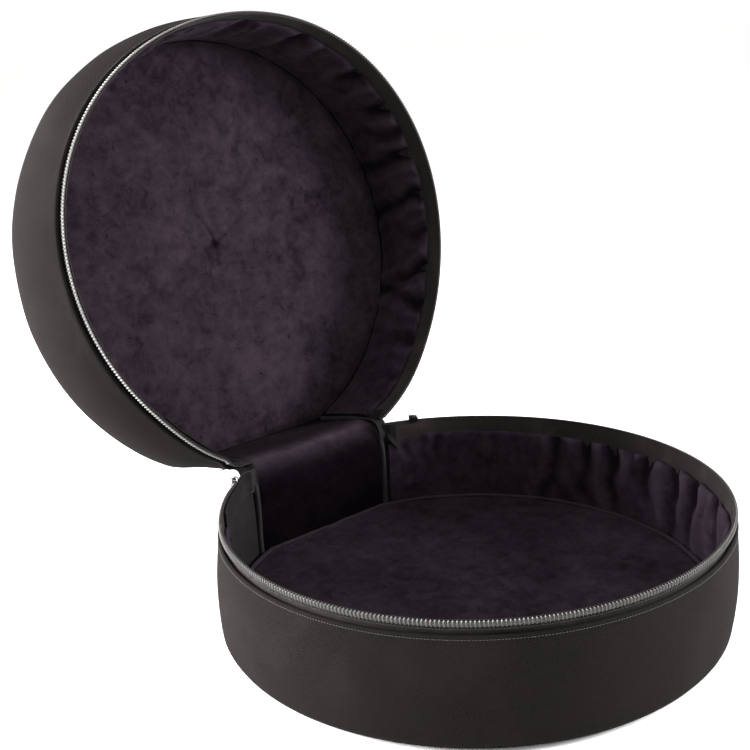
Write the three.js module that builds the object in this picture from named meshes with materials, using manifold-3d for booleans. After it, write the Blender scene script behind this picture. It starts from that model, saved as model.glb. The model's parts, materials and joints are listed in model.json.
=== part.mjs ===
// A round padded clamshell case for a handpan, standing open.
// Millimetres, +Z up. The origin is the centre of the flat underside of the base.
// The hinge spine is at the back, +Y, and the zip closes at the front, -Y.
import * as THREE from "three";
import { mergeVertices } from "three/addons/utils/BufferGeometryUtils.js";
import Module from "manifold-3d";

const wasm = await Module();
wasm.setup();

// Overall sizes.
const caseRadius = 290; // to the outer face of the wall
const baseDepth = 140; // underside to rim plane
const lidDepth = 140; // top cover to rim plane
const openAngle = 102; // between the two rim planes as the case stands
const roundSegments = 64; // flats in a whole turn of every round layer
const spineSegments = 8; // flats of that turn that the straight hinge spine takes up

// Layers.
const seat = 0.3; // between pieces that touch
const coverThickness = 1.2;
const wallFoamThickness = 8;
const liningThickness = 2;
const boardThickness = 2.5;
const baseFoamThickness = 19.1;
const lidFoamThickness = 11;
const discLiningThickness = 2.4;
const cornerRadius = 14; // soft outer corner between wall and disc
const cornerSweep = 65; // how much of that corner the wall cover wraps, in degrees
const cornerSteps = 4;
const wallFoamFoot = 7; // underside to the wall foam
const wallFoamChamfer = 5; // off its lower outer edge, to clear the rounded corner
const discEase = 0.5; // between the disc cover and the end of the wall cover

// Zip.
const rimGap = 0.8; // from each coil to the rim plane
const coilHeight = 5.4;
const coilDepth = 3.1;
const tapeThickness = 1;
const hemHeight = 6; // folded edge of the wall cover over the tape
const hemDrop = 13; // rim plane to the top of the hem
const lipThickness = 2; // lining turned out over the foam to the tape

// Spine and trims.
const hingeEase = 0.3; // from each spine face to the hinge axis
const bindingWidth = 9;
const bindingThickness = 1.6;
const bindingTop = 6; // rim plane down to the end of a binding
const gussetSegments = { left: 2, right: 1 }; // flats of bare cloth beside the spine
const pipingRadius = 1.2;
const pipingSides = 6;

// Sliders, measured along, out from and up past the coil.
const slider = {
  length: 12, below: 5.2, above: 4.4, plate: 1.4, outerEase: 0.6, innerEase: 0.5,
  post: 4, postHalf: 0.4, legLength: 1.8, barHalf: 0.8, barOut: 5.2,
};
const pull = { ringRadius: 2.2, wire: 0.6, width: 7, thickness: 1.8, length: 18 };
const wireSides = 8;
const ringSteps = 20;
const parkAngle = 31; // of each slider from the back when the case is open

const rad = THREE.MathUtils.degToRad;
const flatAngle = 360 / roundSegments;
const spineHalfAngle = (spineSegments * flatAngle) / 2;
const chordShare = Math.cos(rad(spineHalfAngle)); // radius to flat spine
const hingeY = caseRadius * chordShare + hingeEase;
const coverInner = caseRadius - coverThickness;
const foamOuter = coverInner - seat;
const foamInner = foamOuter - wallFoamThickness;
const liningOuter = foamInner - seat;
const liningInner = liningOuter - liningThickness;
const coilInner = caseRadius - coilDepth;
const tapeOuter = coilInner - seat;
const tapeInner = tapeOuter - tapeThickness;
const underBoard = coverThickness + seat;
const underFoam = underBoard + boardThickness + seat;

const looks = {
  cover: { color: 0x57514f, roughness: 0.85, metalness: 0 },
  foam: { color: 0x3a3a3c, roughness: 0.95, metalness: 0 },
  board: { color: 0x1c1c1e, roughness: 0.6, metalness: 0 },
  plush: { color: 0x2c252c, roughness: 1, metalness: 0 },
  tape: { color: 0x35302f, roughness: 0.9, metalness: 0 },
  coil: { color: 0x8a8988, roughness: 0.45, metalness: 0.2 },
  binding: { color: 0x4a4645, roughness: 0.8, metalness: 0 },
  chrome: { color: 0xd0d2d4, roughness: 0.2, metalness: 1 },
  blackMetal: { color: 0x202022, roughness: 0.4, metalness: 0.8 },
};

function solidOf(geometry) {
  const bare = geometry.clone();
  bare.deleteAttribute("normal");
  bare.deleteAttribute("uv");
  const merged = mergeVertices(bare, 1e-4);
  return new wasm.Manifold(new wasm.Mesh({
    numProp: 3,
    vertProperties: new Float32Array(merged.attributes.position.array),
    triVerts: new Uint32Array(merged.index.array),
  }));
}

function geometryOf(solid) {
  const mesh = solid.getMesh();
  const geometry = new THREE.BufferGeometry();
  geometry.setAttribute("position", new THREE.BufferAttribute(mesh.vertProperties, 3));
  geometry.setIndex(new THREE.BufferAttribute(mesh.triVerts, 1));
  geometry.computeVertexNormals();
  return geometry;
}

function box(x0, x1, y0, y1, z0, z1) {
  const geometry = new THREE.BoxGeometry(x1 - x0, y1 - y0, z1 - z0);
  return geometry.translate((x0 + x1) / 2, (y0 + y1) / 2, (z0 + z1) / 2);
}

function joined(geometries) {
  return geometryOf(geometries.map(solidOf).reduce((whole, next) => whole.add(next)));
}

// A prism over the hinge side, between two angles measured from +Y towards -X.
function wedge(fromAngle, toAngle) {
  const reach = caseRadius * 2;
  const height = baseDepth + lidDepth;
  const at = (angle) => [-reach * Math.sin(rad(angle)), reach * Math.cos(rad(angle))];
  const shape = new THREE.Shape();
  shape.moveTo(0, 0);
  shape.lineTo(...at(toAngle));
  shape.lineTo(...at(fromAngle));
  shape.closePath();
  return new THREE.ExtrudeGeometry(shape, { depth: height * 2, bevelEnabled: false })
    .translate(0, 0, -height / 2);
}

const degreesOf = (length) => THREE.MathUtils.radToDeg(length / caseRadius);

// A wall layer: the profile, in radius and height, turned about the upright axis.
function fullRing(profile) {
  const points = [...profile, profile[0]].map(([r, z]) => new THREE.Vector2(r, z));
  return new THREE.LatheGeometry(points, roundSegments).rotateX(Math.PI / 2);
}

// That layer with the stretch from -skipRight to +skipLeft degrees taken out.
function wallRing(profile, skipLeft, skipRight) {
  const ease = degreesOf(seat);
  const gap = wedge(-skipRight - ease, skipLeft + ease);
  return geometryOf(solidOf(fullRing(profile)).subtract(solidOf(gap)));
}

// Only the stretch of that layer between two angles.
function wallPiece(profile, fromAngle, toAngle) {
  const ease = degreesOf(seat);
  const keep = wedge(fromAngle + ease, toAngle - ease);
  return geometryOf(solidOf(fullRing(profile)).intersect(solidOf(keep)));
}

// The same profile along the flat spine, mitred to meet the round wall.
function spinePanel(profile) {
  const shape = new THREE.Shape(profile.map(([r, z]) => new THREE.Vector2(r * chordShare, z)));
  const panel = new THREE.ExtrudeGeometry(shape, { depth: caseRadius * 2, bevelEnabled: false })
    .translate(0, 0, -caseRadius)
    .applyMatrix4(new THREE.Matrix4().makeBasis(
      new THREE.Vector3(0, 1, 0), new THREE.Vector3(0, 0, 1), new THREE.Vector3(1, 0, 0)));
  const ease = degreesOf(seat);
  const keep = wedge(-spineHalfAngle + ease, spineHalfAngle - ease);
  return geometryOf(solidOf(panel).intersect(solidOf(keep)));
}

// A disc layer with the spine's straight edge.
function discLayer(radius, bottom, thickness) {
  const shape = new THREE.Shape();
  const start = rad(90 + spineHalfAngle);
  const end = rad(450 - spineHalfAngle);
  shape.absarc(0, 0, radius, start, end, false);
  shape.closePath();
  const arcFlats = roundSegments - spineSegments;
  return new THREE.ExtrudeGeometry(shape, {
    depth: thickness, bevelEnabled: false, curveSegments: arcFlats / 2, // two flats for each
  }).translate(0, 0, bottom);
}

function cornerArc(radius) {
  const centre = caseRadius - cornerRadius;
  return Array.from({ length: cornerSteps + 1 }, (_, step) => {
    const angle = rad(cornerSweep * (1 - step / cornerSteps));
    return [centre + radius * Math.cos(angle), cornerRadius - radius * Math.sin(angle)];
  });
}

function coverProfile(top) {
  const outer = cornerArc(cornerRadius);
  const inner = cornerArc(cornerRadius - coverThickness).reverse();
  return [...outer, [caseRadius, top], [coverInner, top], ...inner];
}

function hemmedCoverProfile(depth) {
  const top = depth - hemDrop;
  const outer = cornerArc(cornerRadius);
  const inner = cornerArc(cornerRadius - coverThickness).reverse();
  const hem = [[coilInner, top], [coilInner, top - hemHeight], [coverInner, top - hemHeight]];
  return [...outer, [caseRadius, top], ...hem, ...inner];
}

function foamProfile(top) {
  const foot = wallFoamFoot;
  return [
    [foamInner, foot], [foamOuter - wallFoamChamfer, foot], [foamOuter, cornerRadius],
    [foamOuter, top], [foamInner, top],
  ];
}

function liningProfile(bottom, depth) {
  const shelf = depth - hemDrop - hemHeight;
  const lipOuter = tapeInner - seat;
  return [
    [liningInner, bottom], [liningOuter, bottom], [liningOuter, shelf],
    [lipOuter, shelf], [lipOuter, shelf + lipThickness], [liningInner, shelf + lipThickness],
  ];
}

const rectangle = (r0, r1, z0, z1) => [[r0, z0], [r1, z0], [r1, z1], [r0, z1]];

function roundProfile(r, z, radius, sides) {
  return Array.from({ length: sides }, (_, side) => {
    const angle = (side * 2 * Math.PI) / sides;
    return [r + radius * Math.cos(angle), z + radius * Math.sin(angle)];
  });
}

function coilProfile(depth) {
  const top = depth - rimGap;
  const bottom = top - coilHeight;
  const bevel = coilDepth / 3;
  return [
    [coilInner, bottom], [caseRadius - bevel, bottom], [caseRadius, bottom + bevel],
    [caseRadius, top - bevel], [caseRadius - bevel, top], [coilInner, top],
  ];
}

const group = new THREE.Group();

function addMesh(parent, name, geometry, look) {
  const mesh = new THREE.Mesh(geometry, new THREE.MeshStandardMaterial(looks[look]));
  mesh.name = name;
  parent.add(mesh);
}

// Everything that the base and the lid share: disc, wall, zip half and half the spine.
// A half is built rim up with the spine at +Y; left is -X there.
function buildHalf(parent, name, depth, foamThickness, leftName, rightName) {
  const foamTop = underFoam + foamThickness;
  const liningBottom = foamTop + seat;
  const liningTop = liningBottom + discLiningThickness;
  const shelf = depth - hemDrop - hemHeight;
  const wallFoamTop = shelf - seat;
  const discRadius = cornerArc(cornerRadius)[0][0] - discEase;
  const gussetLeft = spineHalfAngle + gussetSegments[leftName] * flatAngle;
  const gussetRight = spineHalfAngle + gussetSegments[rightName] * flatAngle;

  addMesh(parent, `${name}_disc_cover`, discLayer(discRadius, 0, coverThickness), "cover");
  addMesh(parent, `${name}_disc_board`,
    discLayer(caseRadius - cornerRadius, underBoard, boardThickness), "board");
  addMesh(parent, `${name}_disc_foam`, discLayer(liningOuter, underFoam, foamThickness), "foam");
  addMesh(parent, `${name}_disc_lining`,
    discLayer(liningInner - seat, liningBottom, discLiningThickness), "plush");

  const cover = hemmedCoverProfile(depth);
  const lining = liningProfile(liningBottom, depth);
  const spineAngle = spineHalfAngle;
  addMesh(parent, `${name}_wall_cover`, wallRing(cover, spineAngle, spineAngle), "cover");
  addMesh(parent, `${name}_wall_foam`,
    wallRing(foamProfile(wallFoamTop), spineAngle, spineAngle), "foam");
  addMesh(parent, `${name}_wall_lining`, wallRing(lining, gussetLeft, gussetRight), "plush");
  addMesh(parent, `${name}_gusset_${leftName}`,
    wallPiece(lining, spineAngle, gussetLeft), "tape");
  addMesh(parent, `${name}_gusset_${rightName}`,
    wallPiece(lining, -gussetRight, -spineAngle), "tape");
  addMesh(parent, `${name}_zip_tape`, wallRing(
    rectangle(tapeInner, tapeOuter, shelf, depth - rimGap), spineAngle, spineAngle), "tape");
  addMesh(parent, `${name}_zip_coil`,
    wallRing(coilProfile(depth), spineAngle, spineAngle), "coil");

  const fold = depth - hingeEase;
  addMesh(parent, `${name}_spine_cover`, spinePanel(coverProfile(fold)), "cover");
  addMesh(parent, `${name}_spine_foam`, spinePanel(foamProfile(fold)), "foam");
  addMesh(parent, `${name}_spine_lining`,
    spinePanel(rectangle(liningInner, liningOuter, liningBottom, fold)), "plush");
  const bindingOuter = liningInner * chordShare - seat;
  const bindingInner = bindingOuter - bindingThickness;
  const spineEdge = bindingInner * Math.tan(rad(spineHalfAngle));
  for (const [side, label] of [[-1, leftName], [1, rightName]]) {
    const edges = [side * (spineEdge - seat), side * (spineEdge - seat - bindingWidth)];
    addMesh(parent, `${name}_spine_binding_${label}`, box(
      Math.min(...edges), Math.max(...edges), bindingInner, bindingOuter,
      liningTop + seat, depth - bindingTop), "binding");
  }
  return liningTop;
}

function buildPiping(parent, liningTop) {
  const r = liningInner - seat - pipingRadius;
  const z = liningTop + seat + pipingRadius;
  addMesh(parent, "base_floor_piping", wallRing(
    roundProfile(r, z, pipingRadius, pipingSides), spineHalfAngle, spineHalfAngle), "binding");
}

// A slider in its own axes: x along the coil, y outwards from it, z up from the rim plane.
function sliderBody() {
  const half = slider.length / 2;
  const outer0 = slider.outerEase;
  const outer1 = outer0 + slider.plate;
  const inner1 = tapeInner - caseRadius - slider.innerEase;
  const inner0 = inner1 - slider.plate;
  const bar = slider.barHalf;
  return joined([
    box(-half, half, outer0, outer1, -slider.below, slider.above),
    box(-half, half, inner0, inner1, -slider.below, slider.above),
    box(-half, slider.post - half, inner0, outer1, -slider.postHalf, slider.postHalf),
    box(-half, slider.legLength - half, outer0, slider.barOut + bar, -bar, bar),
    box(half - slider.legLength, half, outer0, slider.barOut + bar, -bar, bar),
    box(-half, half, slider.barOut - bar, slider.barOut + bar, -bar, bar),
  ]);
}

// A pull: a ring round the slider's bar, with a flat tab hanging from it.
function pullBody() {
  const ring = new THREE.TorusGeometry(pull.ringRadius, pull.wire, wireSides, ringSteps)
    .rotateY(Math.PI / 2);
  const top = -pull.ringRadius;
  const tab = box(-pull.width / 2, pull.width / 2, -pull.thickness / 2, pull.thickness / 2,
    top - pull.length, top);
  return joined([ring, tab]);
}

function buildSlider(name, angle, look) {
  const parked = new THREE.Group();
  parked.rotation.z = rad(angle);
  const at = new THREE.Group();
  at.position.set(0, caseRadius, baseDepth);
  parked.add(at);
  addMesh(at, `${name}_slider`, sliderBody(), look);
  const hung = new THREE.Group();
  hung.position.y = slider.barOut;
  at.add(hung);
  addMesh(hung, `${name}_pull`, pullBody(), look);
  group.add(parked);
}

function buildLid() {
  const hinge = new THREE.Group();
  hinge.position.set(0, hingeY, baseDepth);
  hinge.rotation.x = rad(180 - openAngle);
  const laidOpen = new THREE.Group();
  laidOpen.position.set(0, hingeY, -lidDepth);
  laidOpen.rotation.z = Math.PI;
  hinge.add(laidOpen);
  buildHalf(laidOpen, "lid", lidDepth, lidFoamThickness, "right", "left");
  group.add(hinge);
}

const floorTop = buildHalf(group, "base", baseDepth, baseFoamThickness, "left", "right");
buildPiping(group, floorTop);
buildLid();
buildSlider("left", parkAngle, "chrome");
buildSlider("right", -parkAngle, "blackMetal");

export default group;
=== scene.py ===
import json
import math
import random

import bpy
import numpy as np
from mathutils import Euler, Matrix, Vector, noise


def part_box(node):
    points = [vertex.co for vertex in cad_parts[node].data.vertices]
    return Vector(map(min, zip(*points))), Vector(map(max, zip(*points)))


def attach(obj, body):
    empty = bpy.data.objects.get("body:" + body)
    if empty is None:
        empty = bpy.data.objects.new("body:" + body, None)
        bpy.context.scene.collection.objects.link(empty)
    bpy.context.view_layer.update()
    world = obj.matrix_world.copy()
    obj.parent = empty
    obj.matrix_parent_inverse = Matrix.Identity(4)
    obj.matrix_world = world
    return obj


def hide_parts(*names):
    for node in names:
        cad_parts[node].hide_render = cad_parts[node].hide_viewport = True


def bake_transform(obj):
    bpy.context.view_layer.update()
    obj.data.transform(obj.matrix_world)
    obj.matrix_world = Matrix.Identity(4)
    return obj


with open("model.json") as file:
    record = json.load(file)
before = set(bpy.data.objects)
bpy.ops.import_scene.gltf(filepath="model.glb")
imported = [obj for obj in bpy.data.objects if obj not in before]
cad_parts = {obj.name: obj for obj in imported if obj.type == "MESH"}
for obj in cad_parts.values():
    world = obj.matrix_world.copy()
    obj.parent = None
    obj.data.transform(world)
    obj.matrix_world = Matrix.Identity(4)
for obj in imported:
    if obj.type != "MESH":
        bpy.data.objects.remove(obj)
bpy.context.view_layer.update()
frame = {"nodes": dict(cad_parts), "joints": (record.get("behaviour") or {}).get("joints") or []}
mm = 0.001
print("frame loaded:", len(frame["nodes"]), "nodes")

# The two halves are the same case shell. Each is built rim up with its spine towards +Y,
# and the lid is then turned over and leant back about the hinge line.
hinge = Vector([j for j in frame["joints"] if j["name"] == "lid_hinge"][0]["pos_m"])
lean = math.radians(78)
toLid = (Matrix.Translation(hinge) @ Matrix.Rotation(lean, 4, "X")
         @ Matrix.Translation((0, hinge.y, -hinge.z)) @ Matrix.Rotation(math.pi, 4, "Z"))
toHalf = {"base": Matrix.Identity(4), "lid": toLid}
wideSide = {"base": -1, "lid": 1}  # the wide gusset, in each half's own left and right


caseShape = {
    "rim": hinge.z,
    "wallRadius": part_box("base_wall_cover")[1].x,
    "liningRadius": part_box("base_disc_lining")[1].x,
    "tapeTop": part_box("base_zip_tape")[1].z,
    "spineAngle": 22.5,
}
rim = caseShape["rim"]


def settle():
    if bpy.context.mode != "OBJECT":
        bpy.ops.object.mode_set(mode="OBJECT")
    bpy.ops.object.select_all(action="DESELECT")


def pickUp(piece):
    settle()
    piece.select_set(True)
    bpy.context.view_layer.objects.active = piece


def spotsOf(piece):
    flat = np.empty(len(piece.data.vertices) * 3)
    piece.data.vertices.foreach_get("co", flat)
    return flat.reshape(-1, 3)


def moveSpots(piece, spots):
    piece.data.vertices.foreach_set("co", np.ascontiguousarray(spots).ravel())
    piece.data.update()


def smooth(value):
    value = np.clip(value, 0, 1)
    return value * value * (3 - 2 * value)


def ripples(*parts):
    # smooth noise at many points, given as three coordinates that are lists or plain numbers
    return np.array([noise.noise(Vector(spot)) for spot in zip(*np.broadcast_arrays(*parts))])


def bump(value, middle, width):
    return np.exp(-((value - middle) / width) ** 2)


def drawLine(name, line):
    # a small plane is merged to one point, which is extruded along the line
    settle()
    bpy.ops.mesh.primitive_plane_add(size=4 * mm, location=line[0])
    piece = bpy.context.object
    piece.name = piece.data.name = name
    bpy.ops.object.transform_apply(location=True, rotation=False, scale=False)
    bpy.ops.object.mode_set(mode="EDIT")
    bpy.ops.mesh.select_all(action="SELECT")
    bpy.ops.mesh.merge(type="CENTER")
    here = Vector(line[0])
    for spot in line[1:]:
        there = Vector(spot)
        bpy.ops.mesh.extrude_region_move(TRANSFORM_OT_translate={"value": there - here})
        here = there
    bpy.ops.mesh.select_all(action="SELECT")
    return piece


def alongOf(line):
    steps = [0.0]
    for a, b in zip(line, line[1:]):
        steps.append(steps[-1] + (Vector(b) - Vector(a)).length)
    return np.array(steps)


def layCloth(piece, across, along):
    # the cloth's own map, in metres: across runs round the case, along runs up it
    layer = piece.data.uv_layers.new(name="cloth")
    corners = np.empty(len(piece.data.loops), dtype=int)
    piece.data.loops.foreach_get("vertex_index", corners)
    flat = np.stack([across[corners], along[corners]], 1)
    layer.data.foreach_set("uv", flat.ravel())


def spinCloth(name, line, first, last, steps, closed=False):
    # line holds (radius, height) pairs; angles are in degrees from the spine, towards +X
    turn = math.radians(first)
    path = [(r * math.sin(turn), r * math.cos(turn), z) for r, z in line]
    piece = drawLine(name, path)
    if closed:
        bpy.ops.mesh.edge_face_add()
        bpy.ops.mesh.delete(type="ONLY_FACE")
        bpy.ops.mesh.select_all(action="SELECT")
    bpy.ops.mesh.spin(steps=steps, angle=math.radians(last - first), center=(0, 0, 0), axis=(0, 0, 1))
    bpy.ops.mesh.select_all(action="SELECT")
    bpy.ops.mesh.remove_doubles(threshold=0.01 * mm)
    if closed:
        bpy.ops.mesh.select_all(action="DESELECT")
        bpy.ops.mesh.select_non_manifold()
        bpy.ops.mesh.edge_face_add()
        bpy.ops.mesh.select_all(action="SELECT")
    bpy.ops.mesh.normals_make_consistent(inside=False)
    bpy.ops.object.mode_set(mode="OBJECT")
    spots = spotsOf(piece)
    radius = np.hypot(spots[:, 0], spots[:, 1])
    gap = (radius[:, None] - np.array([r for r, z in line])) ** 2
    gap = gap + (spots[:, 2][:, None] - np.array([z for r, z in line])) ** 2
    nearest = gap.argmin(1)
    lengths = alongOf([(r, 0, z) for r, z in line])
    angle = np.degrees(np.arctan2(spots[:, 0], spots[:, 1])) % 360
    if first < 0:
        angle = (angle + 180) % 360 - 180
    layCloth(piece, np.radians(angle) * line[len(line) // 2][0], lengths[nearest])
    return piece


def faceOut(piece, outward=True):
    # an open sheet of wall faces away from the middle of the case, or towards it
    total = 0.0
    for face in piece.data.polygons:
        total += face.normal.x * face.center.x + face.normal.y * face.center.y
    if (total > 0) != outward:
        pickUp(piece)
        bpy.ops.object.mode_set(mode="EDIT")
        bpy.ops.mesh.select_all(action="SELECT")
        bpy.ops.mesh.flip_normals()
        bpy.ops.object.mode_set(mode="OBJECT")


def thicken(piece, thickness, offset=-1):
    pickUp(piece)
    layer = piece.modifiers.new("thickness", "SOLIDIFY")
    layer.thickness = thickness
    layer.offset = offset
    layer.use_even_offset = False
    bpy.ops.object.modifier_apply(modifier=layer.name)


def ringDisc(name, radius, chord, heights, rings, steps, first=0.0):
    # a disc of rings about its middle, with a straight edge at the spine
    settle()
    bpy.ops.mesh.primitive_circle_add(vertices=steps, radius=radius, location=(0, 0, heights))
    piece = bpy.context.object
    piece.name = piece.data.name = name
    bpy.ops.object.transform_apply(location=True, rotation=False, scale=False)
    bpy.ops.object.mode_set(mode="EDIT")
    bpy.ops.mesh.select_all(action="SELECT")
    for ring in range(rings, 1, -1):
        bpy.ops.mesh.extrude_region_move()
        share = (ring - 1) / ring
        bpy.ops.transform.resize(value=(share, share, 1), center_override=(0, 0, heights))
    bpy.ops.mesh.edge_face_add()
    bpy.ops.mesh.poke()
    bpy.ops.mesh.select_all(action="SELECT")
    bpy.ops.mesh.normals_make_consistent(inside=False)
    bpy.ops.object.mode_set(mode="OBJECT")
    spots = spotsOf(piece)
    reach = np.hypot(spots[:, 0], spots[:, 1]) + 1e-9
    limit = np.where(spots[:, 1] > 0, chord * reach / np.maximum(spots[:, 1], 1e-6), radius)
    share = np.minimum(limit, radius) / radius
    spots[:, :2] *= share[:, None]
    moveSpots(piece, spots)
    layCloth(piece, spots[:, 0], spots[:, 1])
    return piece


def repeatRound(piece, count, stepAngle):
    # one shape is modelled, then repeated round the case by turning a helper about the middle
    settle()
    bpy.ops.object.empty_add(location=(0, 0, 0))
    helper = bpy.context.object
    helper.rotation_euler = (0, 0, -math.radians(stepAngle))
    bpy.context.view_layer.update()
    pickUp(piece)
    row = piece.modifiers.new("row", "ARRAY")
    row.use_relative_offset = False
    row.use_object_offset = True
    row.offset_object = helper
    row.count = count
    bpy.ops.object.modifier_apply(modifier=row.name)
    bpy.data.objects.remove(helper)
    return piece


print("tools ready")


class Thread:
    # one socket of a finish; sums written with it become Math nodes
    def __init__(self, tree, socket):
        self.tree = tree
        self.socket = socket

    def sum(self, operation, *others):
        node = self.tree.nodes.new("ShaderNodeMath")
        node.operation = operation
        for slot, value in zip(node.inputs, others):
            if isinstance(value, Thread):
                self.tree.links.new(value.socket, slot)
            else:
                slot.default_value = value
        return Thread(self.tree, node.outputs[0])

    def __add__(self, other):
        return self.sum("ADD", self, other)

    def __radd__(self, other):
        return self.sum("ADD", other, self)

    def __sub__(self, other):
        return self.sum("SUBTRACT", self, other)

    def __rsub__(self, other):
        return self.sum("SUBTRACT", other, self)

    def __mul__(self, other):
        return self.sum("MULTIPLY", self, other)

    def __rmul__(self, other):
        return self.sum("MULTIPLY", other, self)

    def __truediv__(self, other):
        return self.sum("DIVIDE", self, other)

    def __pow__(self, other):
        return self.sum("POWER", self, other)

    def wave(self):
        return self.sum("SINE", self)

    def size(self):
        return self.sum("ABSOLUTE", self)

    def over(self, edge):
        return self.sum("GREATER_THAN", self, edge)

    def fold(self, low, high):
        return self.sum("MINIMUM", self.sum("MAXIMUM", self, low), high)


class Finish:
    def __init__(self, name):
        self.material = bpy.data.materials.new(name)
        self.material.use_nodes = True
        self.tree = self.material.node_tree
        self.shader = self.tree.nodes["Principled BSDF"]

    def node(self, kind, settings=None, out=0, **values):
        made = self.tree.nodes.new("ShaderNode" + kind)
        for key, value in (settings or {}).items():
            if key == "stops":
                ramp = made.color_ramp
                ramp.elements[0].position, ramp.elements[0].color = value[0]
                ramp.elements[1].position, ramp.elements[1].color = value[-1]
                for place, colour in value[1:-1]:
                    ramp.elements.new(place).color = colour
            else:
                setattr(made, key, value)
        for key, value in values.items():
            names = {slot.name.replace(" ", ""): slot for slot in made.inputs if slot.enabled}
            slot = names[key]
            if isinstance(value, Thread):
                self.tree.links.new(value.socket, slot)
            else:
                slot.default_value = value
        return Thread(self.tree, made.outputs[out])

    def cloth(self):
        # the piece's own map in metres, as two numbers
        place = self.node("UVMap", {"uv_map": "cloth"})
        split = self.node("SeparateXYZ", Vector=place)
        return split, Thread(self.tree, split.socket.node.outputs[1])

    def spots(self):
        return self.node("TexCoord", out=3)

    def grain(self, scale, detail=3.0, rough=0.6, place=None, warp=0.0):
        return self.node("TexNoise", None, 0, Vector=place or self.spots(), Scale=scale, Detail=detail,
                         Roughness=rough, Distortion=warp)

    def mix(self, share, first, second, kind="MIX"):
        made = self.tree.nodes.new("ShaderNodeMix")
        made.data_type = "RGBA"
        made.blend_type = kind
        made.clamp_factor = True
        for number, value in ((0, share), (6, first), (7, second)):
            if isinstance(value, Thread):
                self.tree.links.new(value.socket, made.inputs[number])
            else:
                made.inputs[number].default_value = value
        return Thread(self.tree, made.outputs[2])

    def bumps(self, height, depth, strength=1.0, under=None):
        values = {"Height": height, "Distance": depth, "Strength": strength}
        if under:
            values["Normal"] = under
        return self.node("Bump", None, 0, **values)

    def give(self, **values):
        for key, value in values.items():
            slots = {slot.name.replace(" ", ""): slot for slot in self.shader.inputs}
            if isinstance(value, Thread):
                self.tree.links.new(value.socket, slots[key])
            else:
                slots[key].default_value = value
        return self.material


def shade(red, green, blue):
    # a colour picked on a screen, turned to the light it stands for
    return tuple(((v / 255 + 0.055) / 1.055) ** 2.4 if v > 10 else v / 255 / 12.92
                 for v in (red, green, blue)) + (1.0,)


twillLook = {"thread": 1.3 * mm, "dark": shade(6, 5, 5), "light": shade(34, 30, 30),
             "faded": shade(40, 35, 35), "depth": 0.45 * mm}


def makeTwill(name="shellTwill", look=twillLook):
    f = Finish(name)
    u, v = f.cloth()
    k = 2 * math.pi / look["thread"]
    ribs = ((u + v) * (k * 0.5)).wave() * 0.5 + 0.5
    picks = ((u - v) * k).wave() * 0.5 + 0.5
    thread = ribs * 0.7 + picks * 0.3
    slub = f.grain(900, 2.0)
    worn = f.grain(7, 4.0, warp=0.4)
    hue = f.mix(thread * 0.8 + (slub - 0.5) * 1.3, look["dark"], look["light"])
    hue = f.mix((worn - 0.5) * 1.1, hue, look["faded"])
    fuzz = f.grain(260, 3.0)
    lift = f.bumps(thread + slub * 0.3, look["depth"], 0.55)
    lift = f.bumps(fuzz, 0.5 * mm, 0.25, lift)
    return f.give(BaseColor=hue, Roughness=0.88 + (worn - 0.5) * 0.2, Normal=lift, SheenWeight=0.01,
                  SheenRoughness=0.45, SheenTint=shade(190, 176, 176), SpecularIORLevel=0.02)


plushLook = {"deep": shade(8, 5, 8), "nap": shade(24, 19, 24), "brushed": shade(47, 39, 46)}


def makePlush(name, look=plushLook, sheen=0.6, brush=1.0, crest=None, paintsFoldShadeAndHighlight=False):
    f = Finish(name)
    pile = f.grain(1500, 2.0)
    tuft = f.grain(420, 3.0)
    patch = f.grain(52, 6.0, 0.72, warp=0.4)
    sweep = f.grain(7, 4.0, 0.6, warp=0.9)
    fleck = f.grain(120, 4.0, 0.7, warp=0.6)
    lay = ((patch - 0.47) * 2.2 + (sweep - 0.5) * 1.6 + 0.45) * brush
    hue = f.mix(tuft * 0.6 + pile * 0.4 - 0.1, look["deep"], look["nap"])
    hue = f.mix(lay.fold(0.0, 1.0) * 0.6, hue, look["brushed"])
    hue = f.mix(((0.4 - fleck) * 7).fold(0.0, 0.75), hue, look["deep"])
    if paintsFoldShadeAndHighlight:
        # painted shade in the folds and painted highlight on their ridges, read from a per-point fold
        # attribute
        stand = f.node("Attribute", {"attribute_name": "lay"}, 2) + (patch - 0.5) * 0.35
        hue = f.mix(((stand - 0.55) * 1.7).fold(0.0, 0.6), hue, look["brushed"])
        hue = f.mix(((0.46 - stand) * 2.1).fold(0.0, 0.85), hue, look["deep"])
    if crest:
        # a painted highlight along the crest of the fold, where the cloth goes over it
        along = f.cloth()[1]
        wearAndCrestHighlight = 1 - ((along - crest["at"]).size() / crest["reach"]).fold(0.0, 1.0)
        hue = f.mix(wearAndCrestHighlight * wearAndCrestHighlight * (0.65 + (patch - 0.5) * 1.2), hue, crest["hue"])
    lift = f.bumps(tuft * 0.6 + pile * 0.4, 0.7 * mm, 0.7)
    lift = f.bumps(patch, 2.2 * mm, 0.35, lift)
    return f.give(BaseColor=hue, Roughness=0.86 + (patch - 0.5) * 0.2, Normal=lift, SheenWeight=sheen,
                  SheenRoughness=0.32, SheenTint=shade(200, 180, 200), SpecularIORLevel=0.0)


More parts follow.
